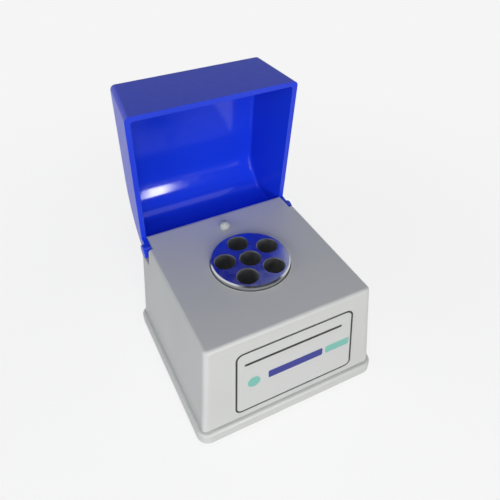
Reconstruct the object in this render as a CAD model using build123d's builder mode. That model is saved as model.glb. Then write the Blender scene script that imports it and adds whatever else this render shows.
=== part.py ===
from build123d import *
from math import cos, radians, sin, tan
import os

os.makedirs("parts", exist_ok=True)

# Housing: a hollow moulding, drafted at the front and sides, upright at the rear
top_width = 100.0
top_depth = 100.3
housing_rise = 63.9
side_draft = 5.8
front_draft = 4.1
housing_wall = 2.6
top_thickness = 3.0
corner_round = 3.0
room_corner_round = 2.0
top_edge_round = 2.0
rear_edge_round = 3.5
seam_step = 0.7
seam_height = 0.8

# Base tray: the plinth that closes the housing from below
plinth_overhang = 2.6
plinth_height = 9.4
plinth_corner_round = 7.0
plinth_top_round = 1.6
plinth_bottom_round = 2.2
tray_floor = 3.0
tray_lip_height = 3.0
tray_lip_wall = 2.0
tray_fit = 0.3

# Rubber feet in shallow pockets of the tray
foot_diameter = 10.0
foot_stand = 1.2
foot_pocket_depth = 1.0
foot_inset = 9.5
foot_fit = 0.2

# Heater block: a disc with a flange, bored through for six vials, on a plate that floors the wells
block_diameter = 46.8
block_proud = 3.0
block_chamfer = 0.8
block_forward_shift = 0.95
block_hole_gap = 0.4
well_diameter = 12.2
well_depth = 30.0
well_floor_thickness = 8.0
well_pitch_radius = 14.9
ring_well_count = 5
well_phase = 93.6
well_chamfer = 0.4
flange_diameter = 62.0
flange_thickness = 3.0

# Seat for the block under the top plate
seat_depth = 4.0
gasket_thickness = 1.0
sleeve_gap = 0.3
block_screw_radius = 27.5
block_screw_count = 3
block_screw_phase = 90.0
block_screw_reach = 7.0
screw_diameter = 3.0
screw_head_diameter = 5.6
screw_head_height = 2.0
screw_hole_gap = 0.2

# Heating disc, its clamp plate and the thermostat below the wells' floor
heater_diameter = 37.0
heater_thickness = 1.6
clamp_diameter = 46.0
clamp_thickness = 2.0
clamp_screw_radius = 20.2
clamp_screw_diameter = 2.0
clamp_screw_head_diameter = 3.6
clamp_screw_head_height = 1.4
clamp_screw_reach = 16.0
thermostat_diameter = 16.0
thermostat_height = 6.0
thermostat_rim_diameter = 19.0
thermostat_rim_height = 1.0
thermostat_tab_width = 4.0
thermostat_tab_height = 5.0
thermostat_tab_thickness = 0.8
thermostat_tab_spread = 8.0

# Indicator light behind the block
lens_diameter = 6.6
lens_rise = 4.2
lens_rear_inset = 15.0
lens_flange_diameter = 9.0
lens_flange_thickness = 1.0
lens_hole_gap = 0.2
lens_stem_length = 3.0
lamp_diameter = 5.0
lamp_height = 7.0
lamp_flange_diameter = 5.8
lamp_flange_height = 1.0
lamp_lead_length = 9.0
lamp_lead_width = 0.5
lamp_lead_pitch = 2.54

# Lid: a moulded cover on two ears, as wide as the top plate
lid_front_inset = 2.5
lid_rear_overhang = 2.5
lid_height = 40.8
lid_wall = 3.0
lid_roof = 3.0
lid_side_draft = 5.5
lid_front_draft = 5.4
lid_rear_round = 30.0
lid_edge_round = 3.0
lid_inner_round = 2.0
rim_gap = 0.4

# Hinge: the pivot sits this far inside the rear face and below the top plate
pivot_rear_inset = 7.3
pivot_drop = 6.5
open_angle = 83.2
ear_radius = 4.5
ear_boss_rise = 2.0
ear_boss_round = 0.6
pin_diameter = 3.0
pin_running_gap = 0.05
pin_bore_depth = 3.8
pin_end_gap = 0.4
pin_head_diameter = 6.0
pin_head_height = 1.2
notch_side_gap = 0.3
notch_front_gap = 3.1
notch_floor_gap = 1.4

# Columns inside the housing that take the base screws
column_diameter = 8.0
column_side_inset = 7.5
column_front_depth = 9.0
column_notch_gap = 0.8
base_screw_reach = 12.0
base_screw_recess = 2.2
counterbore_gap = 0.4

# Power inlet at the rear
inlet_side = 28.0
inlet_rise = 15.0
inlet_diameter = 10.8
inlet_flange_diameter = 14.0
inlet_flange_thickness = 2.0
inlet_length = 14.0
inlet_socket_diameter = 6.3
inlet_socket_depth = 9.5
inlet_contact_diameter = 2.1
inlet_nut_width = 14.0
inlet_nut_thickness = 2.5
inlet_gap = 0.1

# Control board on moulded posts of the tray
board_side_gap = 3.5
board_depth = 34.0
board_thickness = 1.6
board_rear_gap = 6.4
board_post_height = 4.0
board_post_diameter = 6.0
board_hole_inset = 4.0
board_screw_reach = 4.0
board_screw_diameter = 2.5
board_screw_head_diameter = 4.6
board_screw_head_height = 1.6

# Pieces on the board
relay_length = 19.0
relay_width = 15.0
relay_height = 15.0
relay_side = -14.0
relay_shift = -5.0
capacitor_diameter = 8.0
capacitor_height = 12.0
capacitor_side = 4.0
regulator_width = 10.0
regulator_body_height = 9.0
regulator_body_thickness = 4.5
regulator_tab_height = 6.0
regulator_tab_thickness = 1.3
regulator_hole_diameter = 3.6
regulator_side = 14.0
terminal_way_count = 4
terminal_pitch = 5.0
terminal_depth = 8.0
terminal_height = 10.0
terminal_screw_diameter = 3.0
terminal_mouth = 2.6
terminal_setback = 6.0
terminal_side = -12.0
small_round = 0.6

# Label on the front face
label_side_margin = 10.8
label_height = 48.8
label_thickness = 0.3
label_corner = 5.5
label_offset = 2.6
label_top_margin = 10.0

# Levels and places that follow from the sizes above
seam_z = plinth_height
top_z = seam_z + housing_rise
side_flare = housing_rise * tan(radians(side_draft))
front_flare = housing_rise * tan(radians(front_draft))
base_half_width = top_width / 2 + side_flare
plinth_width = 2 * (base_half_width + plinth_overhang)
plinth_depth = front_flare + top_depth + 2 * plinth_overhang
crease_y = plinth_overhang + front_flare - plinth_depth / 2
rear_y = crease_y + top_depth
block_y = crease_y + top_depth / 2 - block_forward_shift
pivot_y = rear_y - pivot_rear_inset
pivot_z = top_z - pivot_drop
lid_width = top_width
lid_front_reach = top_depth - pivot_rear_inset - lid_front_inset
lid_rear_reach = pivot_rear_inset + lid_rear_overhang


def drafted_solid(wall, top_level, bottom_level):
    """A block inside the housing's faces by the given wall, between two levels."""
    with BuildPart() as body:
        for level in (bottom_level, top_level):
            drop = top_z - level
            half_width = top_width / 2 + drop * tan(radians(side_draft)) - wall
            front = crease_y - drop * tan(radians(front_draft)) + wall
            back = rear_y - wall
            with BuildSketch(Plane.XY.offset(level)):
                with Locations((0, (front + back) / 2)):
                    Rectangle(2 * half_width, back - front)
        loft()
    return body.part


# Room inside the housing, leaving walls round the hinge notches, the screw columns and the block's seat
notch_half_width = lid_width / 2 - lid_wall - notch_side_gap
notch_wall_half_width = notch_half_width - housing_wall
notch_front_y = pivot_y - ear_radius - notch_front_gap
notch_floor_z = pivot_z - ear_radius - notch_floor_gap
notch_drop = top_z - notch_floor_z
ceiling_z = top_z - top_thickness
seat_z = ceiling_z - seat_depth
column_half_spacing = top_width / 2 - column_side_inset
column_front_y = crease_y + column_front_depth
column_rear_y = notch_front_y - housing_wall - column_notch_gap - column_diameter / 2
column_places = [
    (side * column_half_spacing, place) for side in (-1, 1) for place in (column_front_y, column_rear_y)
]

outer_form = drafted_solid(0, top_z, seam_z + seam_height)
neck_form = drafted_solid(seam_step, seam_z + seam_height, seam_z)
room_form = drafted_solid(housing_wall, ceiling_z, seam_z)

with BuildPart() as housing_room:
    add(room_form)
    fillet(housing_room.edges().filter_by(Plane.XY, reverse=True), room_corner_round)
    with BuildSketch(Plane.XY.offset(notch_floor_z - housing_wall)):
        for side in (-1, 1):
            with Locations((side * top_width / 2, notch_front_y - housing_wall)):
                Rectangle(
                    2 * (top_width / 2 - notch_wall_half_width),
                    top_depth,
                    align=(Align.CENTER, Align.MIN),
                )
    extrude(amount=notch_drop + housing_wall, mode=Mode.SUBTRACT)
    with BuildSketch(Plane.XY.offset(seam_z)):
        with Locations(column_places):
            Circle(column_diameter / 2)
    extrude(amount=housing_rise, mode=Mode.SUBTRACT)
    with BuildSketch(Plane.XY.offset(seat_z)):
        with Locations((0, block_y)):
            Circle(flange_diameter / 2)
    extrude(amount=seat_depth, mode=Mode.SUBTRACT)

# Housing, with the notches open at the rear for the lid's ears
block_hole_diameter = block_diameter + 2 * block_hole_gap
lens_y = rear_y - lens_rear_inset
pin_head_x = notch_wall_half_width
inlet_z = seam_z + inlet_rise

with BuildPart() as housing_neck:
    add(neck_form)
    fillet(housing_neck.edges().filter_by(Plane.XY, reverse=True), corner_round - seam_step)

with BuildPart() as housing:
    add(outer_form)
    fillet(housing.edges().filter_by(Plane.XY, reverse=True), corner_round)
    with BuildSketch(Plane.XY.offset(notch_floor_z)):
        for side in (-1, 1):
            with Locations((side * base_half_width, notch_front_y)):
                Rectangle(
                    2 * (base_half_width - notch_half_width),
                    top_depth,
                    align=(Align.CENTER, Align.MIN),
                )
    extrude(amount=notch_drop, mode=Mode.SUBTRACT)
    fillet(housing.faces().sort_by(Axis.Z)[-1].edges().sort_by(Axis.Y)[0], top_edge_round)
    fillet(housing.faces().sort_by(Axis.Z)[-1].edges().sort_by(Axis.Y)[-1], rear_edge_round)
    add(housing_neck.part)
    add(housing_room.part, mode=Mode.SUBTRACT)
    with Locations(Plane.XY.offset(top_z)):
        with Locations((0, block_y)):
            Hole(block_hole_diameter / 2, depth=top_thickness + seat_depth)
        with Locations((0, lens_y)):
            Hole(lens_diameter / 2 + lens_hole_gap, depth=top_thickness)
    with BuildSketch(Plane.XY.offset(seam_z)):
        with Locations(column_places):
            Circle(screw_diameter / 2 + screw_hole_gap)
    extrude(amount=base_screw_reach, mode=Mode.SUBTRACT)
    with BuildSketch(Plane.XY.offset(seat_z)):
        with Locations((0, block_y)):
            with PolarLocations(block_screw_radius, block_screw_count, start_angle=block_screw_phase):
                Circle(screw_diameter / 2 + screw_hole_gap)
    extrude(amount=seat_depth, mode=Mode.SUBTRACT)
    with BuildSketch(Plane.YZ.offset(-notch_half_width)):
        with Locations((pivot_y, pivot_z)):
            Circle(pin_diameter / 2)
    extrude(amount=2 * notch_half_width, mode=Mode.SUBTRACT)
    with BuildSketch(Plane.XZ.offset(-rear_y)):
        with Locations((inlet_side, inlet_z)):
            Circle(inlet_diameter / 2 + inlet_gap)
    extrude(amount=housing_wall, mode=Mode.SUBTRACT)
housing.part.label = "housing"
export_step(housing.part, "parts/housing.step")

# Base tray: plinth, locating lip, screw posts and board posts in one moulding
tray_lip_form = drafted_solid(housing_wall + tray_fit, seam_z + tray_lip_height, seam_z)
tray_room_form = drafted_solid(
    housing_wall + tray_fit + tray_lip_wall, seam_z + tray_lip_height, tray_floor
)
foot_places = [
    (side * (plinth_width / 2 - foot_inset), end * (plinth_depth / 2 - foot_inset))
    for side in (-1, 1)
    for end in (-1, 1)
]
lip_inner_y = rear_y - housing_wall - tray_fit - tray_lip_wall
board_y = lip_inner_y - board_rear_gap - board_depth / 2
board_z = tray_floor + board_post_height
board_width = 2 * (column_half_spacing - column_diameter / 2 - board_side_gap)
board_hole_places = [
    (side * (board_width / 2 - board_hole_inset), board_y + end * (board_depth / 2 - board_hole_inset))
    for side in (-1, 1)
    for end in (-1, 1)
]

with BuildPart() as tray_lip:
    add(tray_lip_form)
    fillet(tray_lip.edges().filter_by(Plane.XY, reverse=True), corner_round)

with BuildPart() as base_tray:
    with BuildSketch():
        RectangleRounded(plinth_width, plinth_depth, plinth_corner_round)
    extrude(amount=plinth_height)
    fillet(base_tray.faces().sort_by(Axis.Z)[-1].edges(), plinth_top_round)
    fillet(base_tray.faces().sort_by(Axis.Z)[0].edges(), plinth_bottom_round)
    add(tray_lip.part)
    add(tray_room_form, mode=Mode.SUBTRACT)
    with BuildSketch(Plane.XY.offset(tray_floor)):
        with Locations(column_places):
            Circle(column_diameter / 2)
    extrude(amount=seam_z - tray_floor)
    with BuildSketch(Plane.XY.offset(tray_floor)):
        with Locations(board_hole_places):
            Circle(board_post_diameter / 2)
    extrude(amount=board_post_height)
    with BuildSketch(Plane.XY.offset(board_z)):
        with Locations(board_hole_places):
            Circle(board_screw_diameter / 2 + screw_hole_gap)
    extrude(amount=-board_post_height, mode=Mode.SUBTRACT)
    with BuildSketch():
        with Locations(column_places):
            Circle(screw_diameter / 2 + screw_hole_gap)
    extrude(amount=plinth_height, mode=Mode.SUBTRACT)
    with BuildSketch():
        with Locations(column_places):
            Circle(screw_head_diameter / 2 + counterbore_gap)
    extrude(amount=base_screw_recess, mode=Mode.SUBTRACT)
    with BuildSketch():
        with Locations(foot_places):
            Circle(foot_diameter / 2 + foot_fit)
    extrude(amount=foot_pocket_depth, mode=Mode.SUBTRACT)
base_tray.part.label = "base_tray"
export_step(base_tray.part, "parts/base_tray.step")

with BuildPart() as rubber_feet:
    with BuildSketch(Plane.XY.offset(-foot_stand)):
        with Locations(foot_places):
            Circle(foot_diameter / 2)
    extrude(amount=foot_stand + foot_pocket_depth)
rubber_feet.part.label = "rubber_feet"
export_step(rubber_feet.part, "parts/rubber_feet.step")


def pan_screws(places, seat_level, up, shank, shank_reach, head, head_height):
    """Pan head screws: the head lies on the seat level, the shank runs up or down from it."""
    with BuildPart() as screws:
        with BuildSketch(Plane.XY.offset(seat_level)):
            with Locations(places):
                Circle(head / 2)
        extrude(amount=-up * head_height)
        with BuildSketch(Plane.XY.offset(seat_level)):
            with Locations(places):
                Circle(shank / 2)
        extrude(amount=up * shank_reach)
    return screws.part


base_screws = pan_screws(
    column_places, base_screw_recess, 1, screw_diameter, base_screw_reach, screw_head_diameter, screw_head_height
)
base_screws.label = "base_screws"
export_step(base_screws, "parts/base_screws.step")

# Heater block with its flange and the wells bored through it
block_top_z = top_z + block_proud
block_bottom_z = block_top_z - well_depth
floor_bottom_z = block_bottom_z - well_floor_thickness
flange_top_z = seat_z - gasket_thickness
flange_bottom_z = flange_top_z - flange_thickness
clamp_top_z = floor_bottom_z - heater_thickness
clamp_bottom_z = clamp_top_z - clamp_thickness
block_frame = Plane((0, block_y, 0))
clamp_screw_phase = well_phase + 180 / ring_well_count

with BuildPart() as heater_block:
    with BuildSketch(block_frame.offset(block_bottom_z)):
        Circle(block_diameter / 2)
    extrude(amount=well_depth)
    chamfer(heater_block.edges().sort_by(Axis.Z)[-1], block_chamfer)
    with BuildSketch(block_frame.offset(flange_bottom_z)):
        Circle(flange_diameter / 2)
    extrude(amount=flange_thickness)
    with Locations(block_frame.offset(block_top_z)):
        Hole(well_diameter / 2, depth=well_depth)
        with PolarLocations(well_pitch_radius, ring_well_count, start_angle=well_phase):
            Hole(well_diameter / 2, depth=well_depth)
    well_mouths = heater_block.faces().sort_by(Axis.Z)[-1].edges().sort_by(SortBy.LENGTH)[:-1]
    chamfer(well_mouths, well_chamfer)
    with BuildSketch(block_frame.offset(flange_bottom_z)):
        with PolarLocations(block_screw_radius, block_screw_count, start_angle=block_screw_phase):
            Circle(screw_diameter / 2 + screw_hole_gap)
    extrude(amount=flange_thickness, mode=Mode.SUBTRACT)
    with BuildSketch(block_frame.offset(block_bottom_z)):
        with PolarLocations(clamp_screw_radius, ring_well_count, start_angle=clamp_screw_phase):
            Circle(clamp_screw_diameter / 2 + screw_hole_gap)
    extrude(amount=clamp_screw_reach - clamp_thickness - well_floor_thickness, mode=Mode.SUBTRACT)
heater_block.part.label = "heater_block"
export_step(heater_block.part, "parts/heater_block.step")

with BuildPart() as well_floor:
    with BuildSketch(block_frame.offset(floor_bottom_z)):
        Circle(block_diameter / 2)
        with PolarLocations(clamp_screw_radius, ring_well_count, start_angle=clamp_screw_phase):
            Circle(clamp_screw_diameter / 2 + screw_hole_gap, mode=Mode.SUBTRACT)
    extrude(amount=well_floor_thickness)
well_floor.part.label = "well_floor"
export_step(well_floor.part, "parts/well_floor.step")

with BuildPart() as block_gasket:
    with BuildSketch(block_frame.offset(flange_top_z)):
        Circle(flange_diameter / 2)
        Circle(block_hole_diameter / 2, mode=Mode.SUBTRACT)
        with PolarLocations(block_screw_radius, block_screw_count, start_angle=block_screw_phase):
            Circle(screw_diameter / 2 + screw_hole_gap, mode=Mode.SUBTRACT)
    extrude(amount=gasket_thickness)
block_gasket.part.label = "block_gasket"
export_step(block_gasket.part, "parts/block_gasket.step")


def ring_places(radius, count, start_angle):
    """Places of the screws of a ring round the block's axis."""
    angles = [radians(start_angle + 360 * step / count) for step in range(count)]
    return [(radius * cos(angle), block_y + radius * sin(angle)) for angle in angles]


block_screws = pan_screws(
    ring_places(block_screw_radius, block_screw_count, block_screw_phase),
    flange_bottom_z,
    1,
    screw_diameter,
    block_screw_reach,
    screw_head_diameter,
    screw_head_height,
)
block_screws.label = "block_screws"
export_step(block_screws, "parts/block_screws.step")

# Insulation round the block, below the screw heads
sleeve_top_z = flange_bottom_z - screw_head_height - sleeve_gap
with BuildPart() as insulation_sleeve:
    with BuildSketch(block_frame.offset(floor_bottom_z)):
        Circle(flange_diameter / 2)
        Circle(block_diameter / 2 + sleeve_gap, mode=Mode.SUBTRACT)
    extrude(amount=sleeve_top_z - floor_bottom_z)
insulation_sleeve.part.label = "insulation_sleeve"
export_step(insulation_sleeve.part, "parts/insulation_sleeve.step")

with BuildPart() as heater_disc:
    with BuildSketch(block_frame.offset(clamp_top_z)):
        Circle(heater_diameter / 2)
    extrude(amount=heater_thickness)
heater_disc.part.label = "heater_disc"
export_step(heater_disc.part, "parts/heater_disc.step")

with BuildPart() as heater_clamp:
    with BuildSketch(block_frame.offset(clamp_bottom_z)):
        Circle(clamp_diameter / 2)
        with PolarLocations(clamp_screw_radius, ring_well_count, start_angle=clamp_screw_phase):
            Circle(clamp_screw_diameter / 2 + screw_hole_gap, mode=Mode.SUBTRACT)
    extrude(amount=clamp_thickness)
heater_clamp.part.label = "heater_clamp"
export_step(heater_clamp.part, "parts/heater_clamp.step")

clamp_screws = pan_screws(
    ring_places(clamp_screw_radius, ring_well_count, clamp_screw_phase),
    clamp_bottom_z,
    1,
    clamp_screw_diameter,
    clamp_screw_reach,
    clamp_screw_head_diameter,
    clamp_screw_head_height,
)
clamp_screws.label = "clamp_screws"
export_step(clamp_screws, "parts/clamp_screws.step")

# Thermostat: a can with a wide rim against the clamp plate and two tabs below
with BuildPart() as thermostat:
    with BuildSketch(block_frame.offset(clamp_bottom_z)):
        Circle(thermostat_rim_diameter / 2)
    extrude(amount=-thermostat_rim_height)
    with BuildSketch(block_frame.offset(clamp_bottom_z)):
        Circle(thermostat_diameter / 2)
    extrude(amount=-thermostat_height)
    with BuildSketch(block_frame.offset(clamp_bottom_z - thermostat_height)):
        with GridLocations(thermostat_tab_spread, 0, 2, 1):
            Rectangle(thermostat_tab_thickness, thermostat_tab_width)
    extrude(amount=-thermostat_tab_height)
thermostat.part.label = "thermostat"
export_step(thermostat.part, "parts/thermostat.step")

# Indicator: a domed lens from below through the top plate, with the lamp inside it
lens_radius = lens_diameter / 2
lens_bore_radius = lamp_diameter / 2 + lens_hole_gap
lens_stem_bottom_z = ceiling_z - lens_flange_thickness - lens_stem_length
dome_centre_z = top_z + lens_rise - lens_radius
lamp_dome_z = lens_stem_bottom_z + lamp_height - lamp_diameter / 2

with BuildPart() as led_lens:
    with BuildSketch(Plane((0, lens_y, 0), x_dir=(1, 0, 0), z_dir=(0, -1, 0))):
        with BuildLine():
            Line((0, lens_stem_bottom_z), (lens_radius, lens_stem_bottom_z))
            Line((lens_radius, lens_stem_bottom_z), (lens_radius, dome_centre_z))
            RadiusArc((lens_radius, dome_centre_z), (0, top_z + lens_rise), -lens_radius)
            Line((0, top_z + lens_rise), (0, lens_stem_bottom_z))
        make_face()
    revolve(axis=Axis((0, lens_y, 0), (0, 0, 1)))
    with BuildSketch(Plane((0, lens_y, ceiling_z - lens_flange_thickness))):
        Circle(lens_flange_diameter / 2)
    extrude(amount=lens_flange_thickness)
    with BuildSketch(Plane((0, lens_y, lens_stem_bottom_z))):
        Circle(lens_bore_radius)
    extrude(amount=lamp_dome_z - lens_stem_bottom_z, mode=Mode.SUBTRACT)
    with Locations((0, lens_y, lamp_dome_z)):
        Sphere(lens_bore_radius, mode=Mode.SUBTRACT)
led_lens.part.label = "led_lens"
export_step(led_lens.part, "parts/led_lens.step")

with BuildPart() as led_lamp:
    with BuildSketch(Plane((0, lens_y, lens_stem_bottom_z))):
        Circle(lamp_diameter / 2)
    extrude(amount=lamp_dome_z - lens_stem_bottom_z)
    with Locations((0, lens_y, lamp_dome_z)):
        Sphere(lamp_diameter / 2)
    with BuildSketch(Plane((0, lens_y, lens_stem_bottom_z))):
        Circle(lamp_flange_diameter / 2)
    extrude(amount=-lamp_flange_height)
    with BuildSketch(Plane((0, lens_y, lens_stem_bottom_z - lamp_flange_height))):
        with GridLocations(lamp_lead_pitch, 0, 2, 1):
            Rectangle(lamp_lead_width, lamp_lead_width)
    extrude(amount=-lamp_lead_length)
led_lamp.part.label = "led_lamp"
export_step(led_lamp.part, "parts/led_lamp.step")

# Lid frame: local x points from the front rim to the rear wall, local y from the rim to the roof
swing = radians(open_angle)
lid_back = Vector(0, cos(swing), -sin(swing))
pivot = Vector(0, pivot_y, pivot_z)
lid_side_plane = Plane(origin=pivot, x_dir=lid_back, z_dir=(1, 0, 0))
lid_front_plane = Plane(origin=pivot, x_dir=(1, 0, 0), z_dir=-lid_back)
rim_rise = pivot_drop + rim_gap
lid_up_axis = Axis(pivot, lid_side_plane.y_dir)


def lid_form(inset, roof_inset, edge_round):
    """The lid's outer form, or its room when inset by the wall."""
    roof = rim_rise + lid_height - roof_inset
    front = inset - lid_front_reach
    rear = lid_rear_reach - inset
    rear_round = lid_rear_round - inset
    half_width = lid_width / 2 - inset
    roof_half_width = half_width - lid_height * tan(radians(lid_side_draft))
    roof_front = front + lid_height * tan(radians(lid_front_draft))
    with BuildPart() as form:
        with BuildSketch(lid_side_plane):
            with BuildLine():
                Polyline((rear, roof - rear_round), (rear, rim_rise), (front, rim_rise), (roof_front, roof))
                Line((roof_front, roof), (rear - rear_round, roof))
                RadiusArc((rear - rear_round, roof), (rear, roof - rear_round), rear_round)
            make_face()
        extrude(amount=lid_width / 2, both=True)
        with BuildSketch(lid_front_plane):
            with BuildLine():
                Polyline(
                    (-half_width, rim_rise),
                    (half_width, rim_rise),
                    (roof_half_width, roof),
                    (-roof_half_width, roof),
                    close=True,
                )
            make_face()
        extrude(amount=2 * lid_front_reach, both=True, mode=Mode.INTERSECT)
        fillet(form.edges() - form.edges().group_by(lid_up_axis)[0], edge_round)
    return form.part


lid_outer = lid_form(0, 0, lid_edge_round)
lid_room = lid_form(lid_wall, lid_roof, lid_inner_round)
ear_inner_x = lid_width / 2 - lid_wall

with BuildPart() as lid:
    add(lid_outer)
    add(lid_room, mode=Mode.SUBTRACT)
    for side in (-1, 1):
        with BuildSketch(lid_side_plane.offset(side * ear_inner_x)):
            Circle(ear_radius)
            with Locations((0, rim_rise / 2)):
                Rectangle(2 * ear_radius, rim_rise)
        extrude(amount=side * lid_wall)
        with BuildSketch(lid_side_plane.offset(side * lid_width / 2)):
            Circle(ear_radius)
        extrude(amount=side * ear_boss_rise)
        boss_rim = lid.edges().filter_by(GeomType.CIRCLE).sort_by(Axis((0, 0, 0), (side, 0, 0)))[-1]
        fillet(boss_rim, ear_boss_round)
        with BuildSketch(lid_side_plane.offset(side * ear_inner_x)):
            Circle(pin_diameter / 2 + pin_running_gap)
        extrude(amount=side * pin_bore_depth, mode=Mode.SUBTRACT)
lid.part.label = "lid"
export_step(lid.part, "parts/lid.step")

# Hinge pins, pushed in from inside the housing
for name, side in (("hinge_pin_left", -1), ("hinge_pin_right", 1)):
    with BuildPart() as hinge_pin:
        with BuildSketch(Plane.YZ.offset(side * pin_head_x)):
            with Locations((pivot_y, pivot_z)):
                Circle(pin_head_diameter / 2)
        extrude(amount=-side * pin_head_height)
        with BuildSketch(Plane.YZ.offset(side * pin_head_x)):
            with Locations((pivot_y, pivot_z)):
                Circle(pin_diameter / 2)
        extrude(amount=side * (ear_inner_x + pin_bore_depth - pin_end_gap - pin_head_x))
    hinge_pin.part.label = name
    export_step(hinge_pin.part, f"parts/{name}.step")

# Power inlet: a round socket from outside the rear wall, held by a nut inside
inlet_face_y = rear_y + inlet_flange_thickness
inlet_frame = Plane((inlet_side, inlet_face_y, inlet_z), x_dir=(-1, 0, 0), z_dir=(0, 1, 0))
with BuildPart() as power_inlet:
    with BuildSketch(inlet_frame):
        Circle(inlet_flange_diameter / 2)
    extrude(amount=-inlet_flange_thickness)
    with BuildSketch(inlet_frame):
        Circle(inlet_diameter / 2)
    extrude(amount=-inlet_length)
    with BuildSketch(inlet_frame):
        Circle(inlet_socket_diameter / 2)
        Circle(inlet_contact_diameter / 2, mode=Mode.SUBTRACT)
    extrude(amount=-inlet_socket_depth, mode=Mode.SUBTRACT)
power_inlet.part.label = "power_inlet"
export_step(power_inlet.part, "parts/power_inlet.step")

with BuildPart() as inlet_nut:
    with BuildSketch(Plane((inlet_side, rear_y - housing_wall, inlet_z), x_dir=(-1, 0, 0), z_dir=(0, 1, 0))):
        RegularPolygon(inlet_nut_width / 2, 6, major_radius=False)
        Circle(inlet_diameter / 2 + inlet_gap, mode=Mode.SUBTRACT)
    extrude(amount=-inlet_nut_thickness)
inlet_nut.part.label = "inlet_nut"
export_step(inlet_nut.part, "parts/inlet_nut.step")

# Control board and its pieces
board_top_z = board_z + board_thickness
with BuildPart() as control_board:
    with BuildSketch(Plane((0, board_y, board_z))):
        Rectangle(board_width, board_depth)
        with GridLocations(board_width - 2 * board_hole_inset, board_depth - 2 * board_hole_inset, 2, 2):
            Circle(board_screw_diameter / 2 + screw_hole_gap, mode=Mode.SUBTRACT)
    extrude(amount=board_thickness)
control_board.part.label = "control_board"
export_step(control_board.part, "parts/control_board.step")

board_screws = pan_screws(
    board_hole_places,
    board_top_z,
    -1,
    board_screw_diameter,
    board_screw_reach,
    board_screw_head_diameter,
    board_screw_head_height,
)
board_screws.label = "board_screws"
export_step(board_screws, "parts/board_screws.step")

with BuildPart() as relay:
    with BuildSketch(Plane((relay_side, board_y + relay_shift, board_top_z))):
        Rectangle(relay_length, relay_width)
    extrude(amount=relay_height)
    fillet(relay.edges().filter_by(Axis.Z), small_round)
relay.part.label = "relay"
export_step(relay.part, "parts/relay.step")

with BuildPart() as capacitor:
    with BuildSketch(Plane((capacitor_side, board_y, board_top_z))):
        Circle(capacitor_diameter / 2)
    extrude(amount=capacitor_height)
    fillet(capacitor.edges(), small_round)
capacitor.part.label = "capacitor"
export_step(capacitor.part, "parts/capacitor.step")

with BuildPart() as regulator:
    with BuildSketch(Plane((regulator_side, board_y, board_top_z))):
        Rectangle(regulator_width, regulator_body_thickness)
    extrude(amount=regulator_body_height)
    with BuildSketch(Plane((regulator_side, board_y, board_top_z + regulator_body_height))):
        with Locations((0, (regulator_body_thickness - regulator_tab_thickness) / 2)):
            Rectangle(regulator_width, regulator_tab_thickness)
    extrude(amount=regulator_tab_height)
    tab_hole_z = board_top_z + regulator_body_height + regulator_tab_height / 2
    with BuildSketch(Plane.XZ.offset(-board_y - regulator_body_thickness)):
        with Locations((regulator_side, tab_hole_z)):
            Circle(regulator_hole_diameter / 2)
    extrude(amount=2 * regulator_body_thickness, mode=Mode.SUBTRACT)
regulator.part.label = "regulator"
export_step(regulator.part, "parts/regulator.step")

terminal_y = board_y + board_depth / 2 - terminal_setback
with BuildPart() as terminal_block:
    with BuildSketch(Plane((terminal_side, terminal_y, board_top_z))):
        Rectangle(terminal_way_count * terminal_pitch, terminal_depth)
    extrude(amount=terminal_height)
    with BuildSketch(Plane((terminal_side, terminal_y, board_top_z + terminal_height))):
        with GridLocations(terminal_pitch, 0, terminal_way_count, 1):
            Circle(terminal_screw_diameter / 2)
    extrude(amount=-terminal_mouth, mode=Mode.SUBTRACT)
    with BuildSketch(Plane.XZ.offset(-terminal_y - terminal_depth / 2)):
        with Locations((terminal_side, board_top_z + terminal_mouth)):
            with GridLocations(terminal_pitch, 0, terminal_way_count, 1):
                Rectangle(terminal_mouth, terminal_mouth)
    extrude(amount=terminal_mouth, mode=Mode.SUBTRACT)
terminal_block.part.label = "terminal_block"
export_step(terminal_block.part, "parts/terminal_block.step")

# Label, flat on the drafted front face
front_slope = radians(front_draft)
label_width = top_width - 2 * label_side_margin
label_drop = label_top_margin + label_height / 2
label_plane = Plane(
    origin=(label_offset, crease_y - label_drop * sin(front_slope), top_z - label_drop * cos(front_slope)),
    x_dir=(1, 0, 0),
    z_dir=(0, -cos(front_slope), sin(front_slope)),
)
with BuildPart() as front_label:
    with BuildSketch(label_plane):
        RectangleRounded(label_width, label_height, label_corner)
    extrude(amount=label_thickness)
front_label.part.label = "front_label"
export_step(front_label.part, "parts/front_label.step")
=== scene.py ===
import math

import bmesh
import bpy
from mathutils import Matrix, Vector


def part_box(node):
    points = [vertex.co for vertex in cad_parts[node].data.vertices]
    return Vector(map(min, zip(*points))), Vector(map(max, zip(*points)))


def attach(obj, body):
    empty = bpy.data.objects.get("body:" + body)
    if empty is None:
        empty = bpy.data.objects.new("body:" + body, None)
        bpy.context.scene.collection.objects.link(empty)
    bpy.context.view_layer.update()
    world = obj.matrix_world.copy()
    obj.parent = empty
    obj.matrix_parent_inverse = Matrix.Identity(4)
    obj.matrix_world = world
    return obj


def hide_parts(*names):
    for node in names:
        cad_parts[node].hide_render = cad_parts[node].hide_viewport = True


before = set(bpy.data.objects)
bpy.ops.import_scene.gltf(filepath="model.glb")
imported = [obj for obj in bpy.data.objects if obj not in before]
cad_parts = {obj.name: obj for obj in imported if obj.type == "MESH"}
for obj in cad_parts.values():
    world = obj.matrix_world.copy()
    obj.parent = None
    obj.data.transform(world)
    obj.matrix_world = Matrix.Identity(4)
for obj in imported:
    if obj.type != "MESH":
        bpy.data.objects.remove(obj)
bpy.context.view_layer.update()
mm = 0.001

print("frame loaded")


def linear(hexColour):
    # sRGB hex to the linear colour that the shader wants
    parts = [int(hexColour[i:i + 2], 16) / 255 for i in (1, 3, 5)]
    return [c / 12.92 if c <= 0.04045 else ((c + 0.055) / 1.055) ** 2.4 for c in parts] + [1.0]


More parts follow.
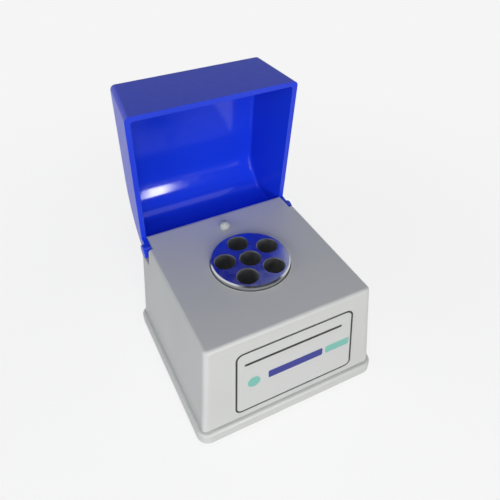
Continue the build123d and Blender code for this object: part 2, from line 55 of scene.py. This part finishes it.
def perMetre(millimetres):
    # a texture's scale for a feature of this size
    return 1 / (millimetres * mm)


def addNode(tree, kind, inputs=None, **settings):
    # a node with its settings; an input is a value or a socket to link from
    node = tree.nodes.new(kind)
    for name, value in settings.items():
        setattr(node, name, value)
    for name, value in (inputs or {}).items():
        if isinstance(value, bpy.types.NodeSocket):
            tree.links.new(value, node.inputs[name])
        else:
            node.inputs[name].default_value = value
    return node


def addMaths(tree, operation, *values):
    return addNode(tree, "ShaderNodeMath", dict(enumerate(values)), operation=operation).outputs[0]


def addVectorMaths(tree, operation, output, *values):
    return addNode(tree, "ShaderNodeVectorMath", dict(enumerate(values)), operation=operation).outputs[output]


def addNoise(tree, place, size, detail):
    # clouds or grains of about this size in mm
    noise = addNode(tree, "ShaderNodeTexNoise", {"Vector": place, "Scale": perMetre(size), "Detail": detail})
    return noise.outputs["Fac"]


def addRange(tree, value, source, target):
    # the source span is spread over the target span, and what lies beyond it stays at the target's ends
    spread = addNode(tree, "ShaderNodeMapRange", {
        "Value": value, "From Min": source[0], "From Max": source[1], "To Min": target[0], "To Max": target[1]})
    return spread.outputs["Result"]


def addMix(tree, factor, first, second, kind="RGBA"):
    mix = addNode(tree, "ShaderNodeMix", {"Factor": factor, "A": first, "B": second}, data_type=kind)
    return mix.outputs["Result"]


def addRelief(tree, height, depth):
    # depth is in metres for a height from 0 to 1
    relief = addNode(tree, "ShaderNodeBump", {"Height": height, "Strength": 1.0, "Distance": depth})
    return relief.outputs["Normal"]


def newMaterial(name):
    material = bpy.data.materials.new(name)
    material.use_nodes = True
    material.node_tree.nodes.clear()
    return material, material.node_tree


def addSurface(tree, shader):
    addNode(tree, "ShaderNodeOutputMaterial", {"Surface": shader.outputs[0]})


def meshObject(name, form, material):
    # the finished bmesh as an object at the origin
    mesh = bpy.data.meshes.new(name)
    form.to_mesh(mesh)
    form.free()
    mesh.materials.append(material)
    piece = bpy.data.objects.new(name, mesh)
    bpy.context.scene.collection.objects.link(piece)
    return piece


# Studio: a pale bench that runs into the backdrop, soft lamps, and grey cards for the reflections. All in mm
studio = {
    "backdrop": "#f5f5f5",
    "benchGlow": "#ffffff",    # makes up for what the shaded share of the bench loses
    "benchShade": 0.20,        # how much of the bench takes light, so that it keeps a shadow
    "benchNear": 150.0,        # distance from the middle where the bench starts to run into the backdrop
    "benchFar": 420.0,
    "benchHalf": 6000.0,
    "ambient": "#dfe3ea",
    "ambientStrength": 0.12,
    "aim": (0, 0, 60),         # what the lamps and cards look at
}
# a soft lamp lights the piece, a mirrored one only leaves its highlight
lamps = {
    "front": {"place": (-100, -900, 260), "size": (500, 300), "watts": 4.2,
              "colour": "#fffefb", "rays": "soft"},
    "frontHigh": {"place": (-150, -700, 620), "size": (400, 400), "watts": 2.5,
                  "colour": "#ffffff", "rays": "soft"},
    "frontLeft": {"place": (-650, -650, 300), "size": (400, 400), "watts": 1.9,
                  "colour": "#ffffff", "rays": "soft"},
    "left": {"place": (-950, -80, 320), "size": (400, 400), "watts": 2.1,
             "colour": "#f2faff", "rays": "soft"},
    "window": {"place": (95, -502, 150), "size": (36, 250), "watts": 0.9,
               "colour": "#ffffff", "rays": "mirrored"},
    "rearFill": {"place": (150, 900, 36), "size": (700, 60), "watts": 5.0,
                 "colour": "#ffffff", "rays": "soft"},
    "rightFill": {"place": (950, 250, 36), "size": (600, 60), "watts": 4.0,
                  "colour": "#ffffff", "rays": "soft"},
}
# grey cards that glow with their tone and are seen only in reflections: painted reflections of a room that is
# darker than the backdrop
cards = {
    "cardFront": {"place": (0, -640, 330), "size": (2000, 1000), "tone": "#33363d"},
    "cardRearRight": {"place": (580, 970, 980), "size": (1500, 1300), "tone": "#b2b8c6"},
}
camera = {"place": (-97.04, -191.15, 275.25), "pitch": 0.8414, "turn": -0.4660, "lens": 36.45, "sensor": 36.0}


def backdropRays(tree):
    # 1 for the rays that see the bench and backdrop as a picture, 0 for those that carry their light
    rays = addNode(tree, "ShaderNodeLightPath").outputs
    seen = addMaths(tree, "MAXIMUM", rays["Is Camera Ray"], rays["Is Glossy Ray"])
    return addMaths(tree, "MAXIMUM", seen, rays["Is Transmission Ray"])


def makeAir():
    world = bpy.data.worlds.new("studioAir")
    bpy.context.scene.world = world
    world.use_nodes = True
    tree = world.node_tree
    tree.nodes.clear()
    seen = addNode(tree, "ShaderNodeBackground", {"Color": linear(studio["backdrop"]), "Strength": 1.0})
    felt = addNode(tree, "ShaderNodeBackground",
                   {"Color": linear(studio["ambient"]), "Strength": studio["ambientStrength"]})
    mix = addNode(tree, "ShaderNodeMixShader", {0: backdropRays(tree), 1: felt.outputs[0], 2: seen.outputs[0]})
    addNode(tree, "ShaderNodeOutputWorld", {"Surface": mix.outputs[0]})


def makeBench():
    # near the piece the bench is partly paper that takes shadows, and further out it only glows
    material, tree = newMaterial("paperBench")
    place = addNode(tree, "ShaderNodeTexCoord").outputs["Object"]
    distance = addVectorMaths(tree, "LENGTH", "Value", place)
    fade = [studio["benchNear"] * mm, studio["benchFar"] * mm]
    shaded = addRange(tree, distance, fade, (studio["benchShade"], 0.0))
    bright = addRange(tree, distance, fade, (1.0, 0.0))
    tone = addMix(tree, bright, linear(studio["backdrop"]), linear(studio["benchGlow"]))
    paper = addNode(tree, "ShaderNodeBsdfDiffuse", {"Color": linear(studio["backdrop"])})
    glow = addNode(tree, "ShaderNodeEmission", {"Color": tone, "Strength": backdropRays(tree)})
    addSurface(tree, addNode(tree, "ShaderNodeMixShader", {0: shaded, 1: glow.outputs[0], 2: paper.outputs[0]}))

    form = bmesh.new()
    bmesh.ops.create_grid(form, x_segments=1, y_segments=1, size=studio["benchHalf"] * mm)
    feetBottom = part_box("rubber_feet")[0].z
    bmesh.ops.translate(form, verts=form.verts, vec=(0, 0, feetBottom))
    bench = meshObject("studioBench", form, material)


def turnTo(target, place):
    return (target - place).to_track_quat("-Z", "Y")


def makeLamp(name, lamp, aim):
    light = bpy.data.lights.new(name, "AREA")
    light.shape = "RECTANGLE"
    light.size, light.size_y = lamp["size"][0] * mm, lamp["size"][1] * mm
    light.energy = lamp["watts"]
    light.color = linear(lamp["colour"])[:3]
    holder = bpy.data.objects.new(name, light)
    holder.location = Vector(lamp["place"]) * mm
    holder.rotation_euler = turnTo(aim, holder.location).to_euler()
    holder.visible_glossy = lamp["rays"] == "mirrored"
    holder.visible_diffuse = lamp["rays"] == "soft"
    bpy.context.scene.collection.objects.link(holder)


def makeCard(name, card, aim):
    material, tree = newMaterial(name + "PaintedReflection")
    # the card glows with its tone and is seen only in reflections, a painted reflection
    addSurface(tree, addNode(tree, "ShaderNodeEmission", {"Color": linear(card["tone"]), "Strength": 1.0}))
    form = bmesh.new()
    bmesh.ops.create_grid(form, x_segments=1, y_segments=1, size=0.5)
    bmesh.ops.scale(form, verts=form.verts, vec=(card["size"][0] * mm, card["size"][1] * mm, 1))
    middle = Vector(card["place"]) * mm
    turn = turnTo(aim, middle).to_matrix().to_4x4()
    bmesh.ops.transform(form, matrix=Matrix.Translation(middle) @ turn, verts=form.verts)
    sheet = meshObject(name, form, material)
    sheet.visible_camera = sheet.visible_diffuse = sheet.visible_transmission = False
    sheet.visible_shadow = sheet.visible_volume_scatter = False


def makeCamera():
    lens = bpy.data.cameras.new("photoCamera")
    lens.lens, lens.sensor_width = camera["lens"], camera["sensor"]
    eye = bpy.data.objects.new("photoCamera", lens)
    eye.location = Vector(camera["place"]) * mm
    eye.rotation_euler = (camera["pitch"], 0, camera["turn"])
    bpy.context.scene.collection.objects.link(eye)
    bpy.context.scene.camera = eye
    bpy.context.scene.view_settings.view_transform = "Standard"


makeAir()
makeBench()
aim = Vector(studio["aim"]) * mm
for name, lamp in lamps.items():
    makeLamp(name, lamp, aim)
for name, card in cards.items():
    makeCard(name, card, aim)
makeCamera()
print("studio built")


noiseSpan = (0.3, 0.7)    # most of a noise's values lie in it


def objectPlace(tree):
    return addNode(tree, "ShaderNodeTexCoord").outputs["Object"]


def addTone(tree, factor, values):
    # between a material's two colours
    return addMix(tree, factor, linear(values["colour"]), linear(values["deeper"]))


def shares(value, parts):
    return [value * part for part in parts]


# ABS, injection moulded in a spark-eroded tool: pale grey, satin, with a fine even grain
satinAbs = {
    "colour": "#cfd0cf", "deeper": "#c9cac9", "cloud": 45.0,
    "grain": 0.9,              # the real one is about 0.1 mm, drawn coarser so that it shows
    "grainDepth": 0.012, "roughness": (0.36, 0.44), "ior": 1.54,
}


def mouldedAbs(name, values):
    material, tree = newMaterial(name)
    place = objectPlace(tree)
    cloud = addNoise(tree, place, values["cloud"], detail=3.0)
    grain = addNoise(tree, place, values["grain"], detail=2.0)
    addSurface(tree, addNode(tree, "ShaderNodeBsdfPrincipled", {
        "Base Color": addTone(tree, cloud, values),
        "Roughness": addRange(tree, cloud, noiseSpan, values["roughness"]),
        "IOR": values["ior"],
        "Normal": addRelief(tree, grain, values["grainDepth"] * mm)}))
    return material


# ABS, coloured through: the core side of the tool is polished and leaves the inside of the lid glossy,
# the cavity side is finely textured and leaves the outside satin, so that it looks duller
blueLid = {
    "colour": "#1b3fe3", "deeper": "#173ad8", "cloud": 60.0,
    "middle": (0.0, 67.2, 109.7),                    # a point in the open lid's room
    "wave": 14.0, "waveDepth": 0.02,
    "rub": 3.0, "rubSpan": (0.35, 0.7),
    "grain": 0.8,                                    # the real one is about 0.1 mm, drawn coarser
    "grainDepth": 0.012,
    "inside": (0.09, 0.15), "outside": (0.34, 0.40), "ior": 1.50,
}


def polishedAbs(name, values):
    material, tree = newMaterial(name)
    coords = addNode(tree, "ShaderNodeTexCoord").outputs
    place = coords["Object"]
    # a face that looks towards the middle of the lid belongs to its inside
    inward = addVectorMaths(tree, "SUBTRACT", 0, [v * mm for v in values["middle"]], place)
    facing = addVectorMaths(tree, "DOT_PRODUCT", "Value", inward, coords["Normal"])
    inside = addMaths(tree, "GREATER_THAN", facing, 0.0)

    cloud = addNoise(tree, place, values["cloud"], detail=2.0)
    wave = addNoise(tree, place, values["wave"], detail=1.0)
    rub = addNoise(tree, place, values["rub"], detail=4.0)
    grain = addNoise(tree, place, values["grain"], detail=2.0)
    glossy = addRange(tree, rub, values["rubSpan"], values["inside"])
    satin = addRange(tree, rub, values["rubSpan"], values["outside"])
    ripple = addMaths(tree, "MULTIPLY", wave, values["waveDepth"] * mm)
    texture = addMaths(tree, "MULTIPLY", grain, values["grainDepth"] * mm)
    height = addMix(tree, inside, texture, ripple, kind="FLOAT")
    addSurface(tree, addNode(tree, "ShaderNodeBsdfPrincipled", {
        "Base Color": addTone(tree, cloud, values),
        "Roughness": addMix(tree, inside, satin, glossy, kind="FLOAT"),
        "IOR": values["ior"],
        "Normal": addRelief(tree, height, 1.0)}))
    return material


# Aluminium bar, faced on a lathe and bored: a near mirror with fine rings, dull dark walls in the wells, and
# the wells' chamfered rims painted darker, painted shade that tones down their glints
blockMetal = {
    # the rims' colour is painted shade, darker than the metal so that the chamfers' reflected glints stay faint
    "colour": "#cfd1d4", "wellColour": "#b4b5b4", "rimPaintedShade": "#77797b",
    "centre": (0.0, 1.3402), "faceRadius": 22.4,
    "wellTop": 76.28, "rimDepth": 0.45,              # what lies lower is the wells' wall
    "turnPitch": 0.8, "turnDepth": 0.0012,           # real tool marks are finer, drawn coarser
    "borePitch": 0.9, "boreDepth": 0.03,
    "scratch": 5.0, "roughness": (0.17, 0.26), "wellRoughness": 0.50,
}


def turnedAluminium(name, values):
    material, tree = newMaterial(name)
    place = objectPlace(tree)
    centred = addNode(tree, "ShaderNodeMapping", {
        "Vector": place, "Location": (-values["centre"][0] * mm, -values["centre"][1] * mm, 0)})
    parts = addNode(tree, "ShaderNodeSeparateXYZ", {"Vector": centred.outputs[0]}).outputs
    flat = addNode(tree, "ShaderNodeCombineXYZ", {"X": parts["X"], "Y": parts["Y"]})
    radius = addVectorMaths(tree, "LENGTH", "Value", flat.outputs[0])
    within = addMaths(tree, "LESS_THAN", radius, values["faceRadius"] * mm)
    below = addMaths(tree, "LESS_THAN", parts["Z"], values["wellTop"] * mm)
    well = addMaths(tree, "MULTIPLY", within, below)
    wall = addMaths(tree, "LESS_THAN", parts["Z"], (values["wellTop"] - values["rimDepth"]) * mm)

    def rings(along, pitch, depth):
        angle = addMaths(tree, "MULTIPLY", along, 2 * math.pi * perMetre(pitch))
        return addMaths(tree, "MULTIPLY", addMaths(tree, "SINE", angle), depth * mm)

    turned = rings(radius, values["turnPitch"], values["turnDepth"])
    bored = rings(parts["Z"], values["borePitch"], values["boreDepth"])
    height = addMix(tree, well, turned, bored, kind="FLOAT")
    scratch = addNoise(tree, place, values["scratch"], detail=6.0)
    sheen = addRange(tree, scratch, noiseSpan, values["roughness"])
    # the chamfered rims take the painted shade, the walls below them the wells' own tone
    wellToneAndRimShade = addMix(tree, wall, linear(values["rimPaintedShade"]), linear(values["wellColour"]))
    addSurface(tree, addNode(tree, "ShaderNodeBsdfPrincipled", {
        "Base Color": addMix(tree, well, linear(values["colour"]), wellToneAndRimShade),
        "Metallic": 1.0,
        "Roughness": addMix(tree, well, sheen, values["wellRoughness"], kind="FLOAT"),
        "Normal": addRelief(tree, height, 1.0)}))
    return material


# Sheet and small metal: zinc plate is grey with a faint blue and yellow bloom, turned steel and plated brass
# are brighter, rolled aluminium sheet shows its rolling lines
metals = {
    "steelZincPlated": {"colour": "#a9adb2", "deeper": "#9a9c96", "bloom": 2.5, "line": 0.5, "depth": 0.003,
                        "stretch": (1, 1, 1), "roughness": 0.34},
    "steelTurned": {"colour": "#b9bbbd", "deeper": "#aaacae", "bloom": 4.0, "line": 0.4, "depth": 0.003,
                    "stretch": (1, 8, 8), "roughness": 0.24},
    "brassNickelPlated": {"colour": "#c2bfb6", "deeper": "#b2aea3", "bloom": 3.0, "line": 0.6, "depth": 0.003,
                          "stretch": (1, 1, 1), "roughness": 0.22},
    "aluminiumRolled": {"colour": "#c3c5c7", "deeper": "#b4b6b8", "bloom": 12.0, "line": 0.5, "depth": 0.004,
                        "stretch": (0.06, 1, 1), "roughness": 0.36},
}
metalRub = (0.85, 1.25)    # how far rubbing takes a metal's roughness down and up


def metalFinish(name, values):
    material, tree = newMaterial(name)
    place = objectPlace(tree)
    bloom = addNoise(tree, place, values["bloom"], detail=3.0)
    drawn = addNode(tree, "ShaderNodeMapping", {"Vector": place, "Scale": values["stretch"]})
    lines = addNoise(tree, drawn.outputs[0], values["line"], detail=4.0)
    addSurface(tree, addNode(tree, "ShaderNodeBsdfPrincipled", {
        "Base Color": addTone(tree, bloom, values),
        "Metallic": 1.0,
        "Roughness": addRange(tree, lines, noiseSpan, shares(values["roughness"], metalRub)),
        "Normal": addRelief(tree, lines, values["depth"] * mm)}))
    return material


# Small plastics, rubbers and films: a base colour clouded by noise, and a grain in the surface.
# Rubber and foam are dull and deep, film and relay case are smooth, phenolic is speckled by its filler,
# polyimide film is amber and shiny, and the board's green solder mask is smooth over the laminate
plainFinishes = {
    "polycarbonateFilm": {"colour": "#cfd0cf", "deeper": "#cacbcb", "grain": 1.2, "depth": 0.004,
                          "roughness": 0.30, "ior": 1.58},
    "rubberMoulded": {"colour": "#1d1d1e", "deeper": "#262627", "grain": 0.7, "depth": 0.02,
                      "roughness": 0.75, "ior": 1.52},
    "siliconeSheet": {"colour": "#8a3b30", "deeper": "#7d342a", "grain": 0.8, "depth": 0.01,
                      "roughness": 0.60, "ior": 1.41},
    "nitrileFoam": {"colour": "#242425", "deeper": "#18181a", "grain": 1.1, "depth": 0.12,
                    "roughness": 0.85, "ior": 1.50},
    "nylonMoulded": {"colour": "#1b1c1d", "deeper": "#232425", "grain": 0.6, "depth": 0.01,
                     "roughness": 0.45, "ior": 1.53},
    "phenolicMoulded": {"colour": "#2a1f1a", "deeper": "#1a1412", "grain": 0.9, "depth": 0.01,
                        "roughness": 0.38, "ior": 1.62},
    "polyesterCase": {"colour": "#1f4f8f", "deeper": "#1b4783", "grain": 0.8, "depth": 0.006,
                      "roughness": 0.32, "ior": 1.57},
    "vinylSleeve": {"colour": "#22262d", "deeper": "#1a1d23", "grain": 1.4, "depth": 0.006,
                    "roughness": 0.28, "ior": 1.53},
    "epoxyMoulded": {"colour": "#161616", "deeper": "#1f1f1f", "grain": 0.5, "depth": 0.008,
                     "roughness": 0.50, "ior": 1.55},
    "polyamideGreen": {"colour": "#2c7a45", "deeper": "#256b3b", "grain": 0.7, "depth": 0.008,
                       "roughness": 0.40, "ior": 1.53},
    "polyimideFilm": {"colour": "#b8741f", "deeper": "#a5651a", "grain": 1.6, "depth": 0.004,
                      "roughness": 0.30, "ior": 1.70},
    "laminateMasked": {"colour": "#1c5b33", "deeper": "#17502c", "grain": 0.8, "depth": 0.006,
                       "roughness": 0.32, "ior": 1.55},
}
plainRub = (0.9, 1.1)    # how far handling takes a plastic's roughness down and up


def plainFinish(name, values):
    material, tree = newMaterial(name)
    grain = addNoise(tree, objectPlace(tree), values["grain"], detail=3.0)
    addSurface(tree, addNode(tree, "ShaderNodeBsdfPrincipled", {
        "Base Color": addTone(tree, grain, values),
        "Roughness": addRange(tree, grain, noiseSpan, shares(values["roughness"], plainRub)),
        "IOR": values["ior"],
        "Normal": addRelief(tree, grain, values["depth"] * mm)}))
    return material


# Styrene moulded with a little white in it: the dome lets light in, blurs it and looks milky
milkyStyrene = {
    "colour": "#dfe3df", "deeper": "#d3d8d6", "cloud": 2.2, "grain": 0.5, "depth": 0.004,
    "roughness": 0.22, "clearness": 0.40, "ior": 1.59,
}


def milkyPlastic(name, values):
    material, tree = newMaterial(name)
    place = objectPlace(tree)
    cloud = addNoise(tree, place, values["cloud"], detail=2.0)
    grain = addNoise(tree, place, values["grain"], detail=2.0)
    addSurface(tree, addNode(tree, "ShaderNodeBsdfPrincipled", {
        "Base Color": addTone(tree, cloud, values),
        "Roughness": values["roughness"],
        "IOR": values["ior"],
        "Transmission Weight": values["clearness"],
        "Normal": addRelief(tree, grain, values["depth"] * mm)}))
    return material


greyAbs = mouldedAbs("greyAbsMoulded", satinAbs)
blueAbs = polishedAbs("blueAbsPolished", blueLid)
blockAluminium = turnedAluminium("aluminiumTurned", blockMetal)
milky = milkyPlastic("styreneMilky", milkyStyrene)
finishes = {name: metalFinish(name, values) for name, values in metals.items()}
finishes.update({name: plainFinish(name, values) for name, values in plainFinishes.items()})

dressing = {
    "housing": greyAbs,
    "base_tray": greyAbs,
    "lid": blueAbs,
    "heater_block": blockAluminium,
    "well_floor": blockAluminium,
    "heater_clamp": finishes["aluminiumRolled"],
    "block_gasket": finishes["siliconeSheet"],
    "insulation_sleeve": finishes["nitrileFoam"],
    "rubber_feet": finishes["rubberMoulded"],
    "base_screws": finishes["steelZincPlated"],
    "block_screws": finishes["steelZincPlated"],
    "board_screws": finishes["steelZincPlated"],
    "clamp_screws": finishes["steelZincPlated"],
    "hinge_pin_left": finishes["steelTurned"],
    "hinge_pin_right": finishes["steelTurned"],
    "heater_disc": finishes["polyimideFilm"],
    "thermostat": finishes["phenolicMoulded"],
    "control_board": finishes["laminateMasked"],
    "relay": finishes["polyesterCase"],
    "capacitor": finishes["vinylSleeve"],
    "regulator": finishes["epoxyMoulded"],
    "terminal_block": finishes["polyamideGreen"],
    "led_lens": milky,
    "led_lamp": milky,
    "power_inlet": finishes["nylonMoulded"],
    "inlet_nut": finishes["brassNickelPlated"],
    "front_label": finishes["polycarbonateFilm"],
}
for nodeName, material in dressing.items():
    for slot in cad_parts[nodeName].material_slots:
        slot.material = material
print("finishes set")


# Label: a printed film that narrows upwards as the drafted front does, with a rounded frame line and plain bars
labelPrint = {
    "node": "front_label", "slope": 4.1, "width": 78.4, "height": 48.8, "film": 0.3, "ink": 0.05,
    "topShare": 0.93,    # width of the top edge against the bottom edge
    "edgeGap": 0.15, "line": 1.15, "lineCorner": 4.5, "cornerSteps": 10,
    # left, bottom, width and height in mm from the label's middle, and the ink
    "bars": (
        (-31.5, 13.6, 61.0, 1.7, "inkBlack"),
        (-17.5, -3.6, 35.0, 5.6, "inkNavy"),
        (19.5, -3.6, 16.0, 5.6, "inkTeal"),
    ),
    "barCorner": 0.8, "barSteps": 4,
    "dot": (-26.5, -1.6, 3.9, "inkTeal"),
    "dotSteps": 40,
}
# Screen ink, dried to an even satin layer
inks = {
    "inkBlack": {"colour": "#0e0f11", "deeper": "#17181b", "grain": 0.8, "depth": 0.003,
                 "roughness": 0.42, "ior": 1.50},
    "inkNavy": {"colour": "#1d2583", "deeper": "#232c8c", "grain": 0.8, "depth": 0.003,
                "roughness": 0.42, "ior": 1.50},
    "inkTeal": {"colour": "#74b9ad", "deeper": "#7fc0b4", "grain": 0.8, "depth": 0.003,
                "roughness": 0.42, "ior": 1.50},
}


def roundedPlate(width, height, corner, steps, topShare=1.0):
    # a flat sheet with round corners, drawn round the origin
    form = bmesh.new()
    bmesh.ops.create_grid(form, x_segments=1, y_segments=1, size=0.5)
    bmesh.ops.scale(form, verts=form.verts, vec=(width * mm, height * mm, 1))
    bmesh.ops.scale(form, verts=[v for v in form.verts if v.co.y > 0], vec=(topShare, 1, 1))
    bmesh.ops.bevel(form, geom=form.verts[:], offset=corner * mm, offset_type="OFFSET", segments=steps,
                    profile=0.5, affect="VERTICES", material=-1)
    return form


def thicken(form, height):
    # the sheet gets its thickness away from the label
    raised = bmesh.ops.extrude_face_region(form, geom=form.faces[:])
    top = [part for part in raised["geom"] if isinstance(part, bmesh.types.BMVert)]
    bmesh.ops.translate(form, verts=top, vec=(0, 0, height * mm))
    bmesh.ops.recalc_face_normals(form, faces=form.faces)


def printOnLabel(name, form, finish):
    # what lies at zero height comes to lie on the film's face
    values = labelPrint
    low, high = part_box(values["node"])
    turn = Matrix.Rotation(math.radians(90 - values["slope"]), 4, "X")
    middle = (Vector(low) + Vector(high)) / 2 + turn.col[2].xyz * values["film"] / 2 * mm
    bmesh.ops.transform(form, matrix=Matrix.Translation(middle) @ turn, verts=form.verts)
    piece = meshObject(name, form, finishes[finish])
    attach(piece, "base")
    return piece


def makeFrameLine():
    values = labelPrint
    line = roundedPlate(values["width"] - 2 * values["edgeGap"], values["height"] - 2 * values["edgeGap"],
                        values["lineCorner"], values["cornerSteps"], values["topShare"])
    sheet = line.faces[:]
    bmesh.ops.inset_region(line, faces=sheet, thickness=values["line"] * mm, use_boundary=True,
                           use_even_offset=True)
    bmesh.ops.delete(line, geom=sheet, context="FACES")
    thicken(line, values["ink"])
    printOnLabel("labelFrameLine", line, "inkBlack")


def makeBars():
    values = labelPrint
    for number, (left, bottom, width, height, ink) in enumerate(values["bars"], 1):
        bar = roundedPlate(width, height, values["barCorner"], values["barSteps"])
        thicken(bar, values["ink"])
        bmesh.ops.translate(bar, verts=bar.verts, vec=((left + width / 2) * mm, (bottom + height / 2) * mm, 0))
        printOnLabel("labelBar%d" % number, bar, ink)


def makeDot():
    values = labelPrint
    across, up, radius, ink = values["dot"]
    dot = bmesh.new()
    bmesh.ops.create_circle(dot, cap_ends=True, segments=values["dotSteps"], radius=radius * mm)
    thicken(dot, values["ink"])
    bmesh.ops.translate(dot, verts=dot.verts, vec=(across * mm, up * mm, 0))
    printOnLabel("labelDot", dot, ink)


def makeLabelFilm():
    values = labelPrint
    film = roundedPlate(values["width"], values["height"], values["lineCorner"] + values["edgeGap"],
                        values["cornerSteps"], values["topShare"])
    thicken(film, values["film"])
    bmesh.ops.translate(film, verts=film.verts, vec=(0, 0, -values["film"] * mm))
    piece = printOnLabel("labelFilm", film, "polycarbonateFilm")
    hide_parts(values["node"])


finishes.update({name: plainFinish(name, values) for name, values in inks.items()})
makeFrameLine()
makeBars()
makeDot()
makeLabelFilm()
print("label printed")
